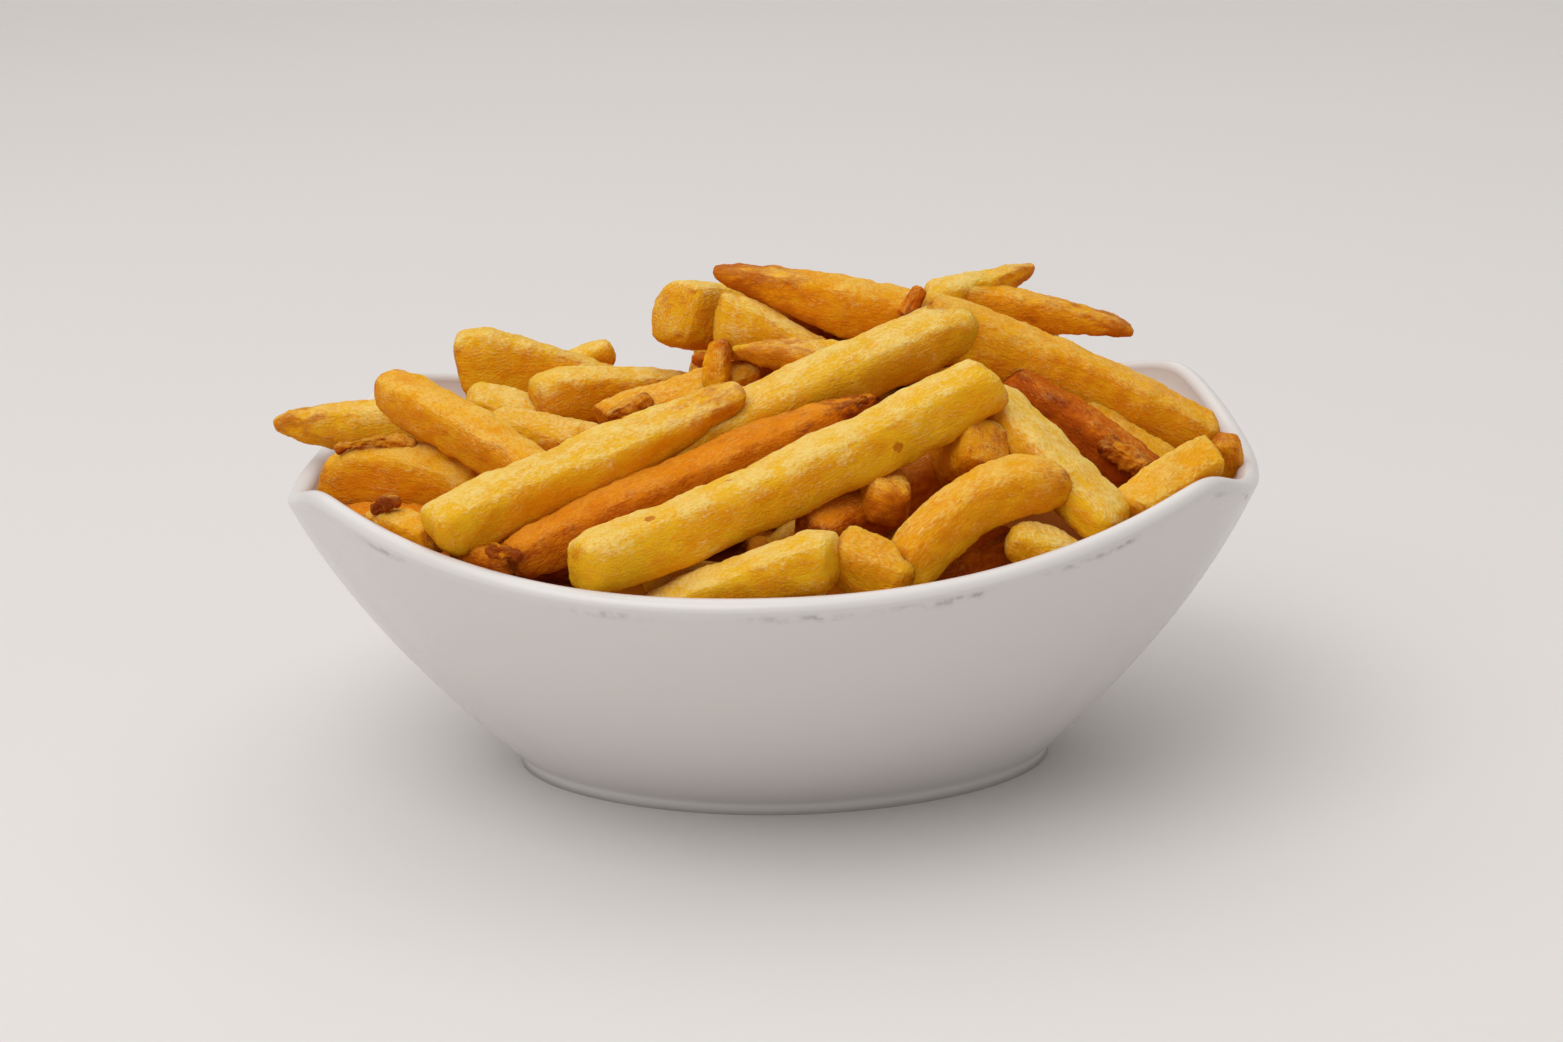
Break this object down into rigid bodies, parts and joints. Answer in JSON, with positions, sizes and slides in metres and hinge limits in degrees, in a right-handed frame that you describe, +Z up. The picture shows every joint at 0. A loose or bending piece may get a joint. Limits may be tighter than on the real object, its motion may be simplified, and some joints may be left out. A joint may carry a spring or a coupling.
{
  "type": "french fries portion in a bowl",
  "caption": "Thick-cut french fries heaped high in an oval white porcelain bowl whose rim climbs to raised corners; the bowl stands on a flat foot ring.",
  "frame": {"origin": "centre of the bowl's foot, on the surface it stands on", "axes": "+X along the bowl's long side, to the right; -Y is the front, which the eater sees; +Z up"},
  "size_m": [0.211, 0.18, 0.1122],
  "materials": {
    "white_glaze": "smooth off-white glaze, glossy, faintly worn below the lip",
    "fried_potato": "fried potato: pale golden faces, deeper golden-orange edges and tips, finely blistered, slightly oily"
  },
  "bodies": {
    "root": {"bowl": "white_glaze", "fries_heap": "fried_potato"}
  },
  "joints": []
}
